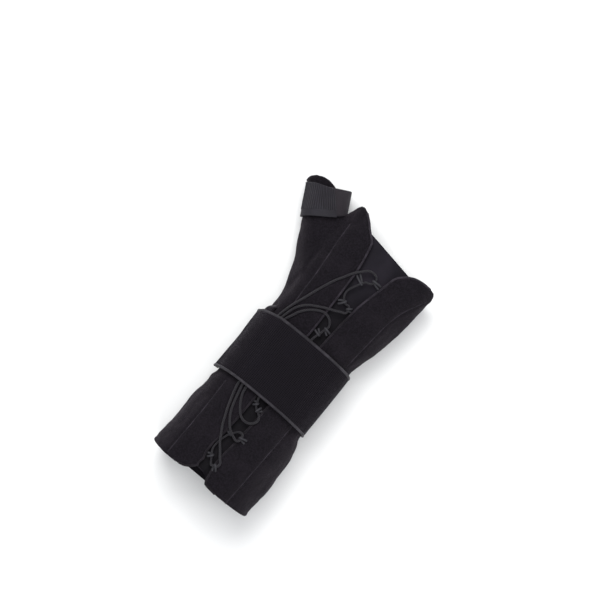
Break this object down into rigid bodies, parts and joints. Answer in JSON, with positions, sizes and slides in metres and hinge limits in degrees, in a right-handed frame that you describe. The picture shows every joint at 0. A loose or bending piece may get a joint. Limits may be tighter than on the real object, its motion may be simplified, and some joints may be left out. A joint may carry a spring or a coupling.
{
  "type": "thumb spica splint",
  "caption": "Lace-up wrist and thumb brace for a right hand: padded sleeve with a thumb tube, a tongue under the lacing, a wide wrist strap and a thumb strap",
  "frame": {"origin": "middle of the wrist strap on the surface that the splint rests on, palm down", "axes": "+Y along the forearm towards the fingers, -X the thumb side, +Z the back of the hand"},
  "size_m": [0.1334, 0.2429, 0.0734],
  "materials": {
    "brushed_laminate": "black brushed loop fabric over thin foam",
    "smooth_knit": "smooth bluish black knit",
    "mesh_strap": "black spacer mesh",
    "edge_binding": "grey satin edge binding",
    "ribbed_webbing": "dark grey ribbed hook webbing",
    "elastic_lace": "grey braided elastic",
    "loop_tape": "narrow woven tape"
  },
  "bodies": {
    "root": {"forearm_shell": "brushed_laminate", "hand_shell": "brushed_laminate", "thumb_sleeve": "brushed_laminate", "radial_panel": "brushed_laminate", "ulnar_panel": "brushed_laminate", "tongue": "smooth_knit", "wrist_strap": "mesh_strap", "strap_binding_distal": "edge_binding", "strap_binding_proximal": "edge_binding", "thumb_strap": "ribbed_webbing", "lace_distal": "elastic_lace", "lace_middle": "elastic_lace", "lace_proximal": "elastic_lace", "loop_ulnar_1": "loop_tape", "loop_radial_1": "loop_tape", "loop_radial_2": "loop_tape", "loop_ulnar_2": "loop_tape", "loop_ulnar_3": "loop_tape", "loop_radial_3": "loop_tape", "loop_radial_4": "loop_tape", "loop_ulnar_4": "loop_tape", "loop_ulnar_5": "loop_tape", "loop_radial_5": "loop_tape", "loop_radial_6": "loop_tape", "loop_ulnar_6": "loop_tape"}
  },
  "joints": []
}
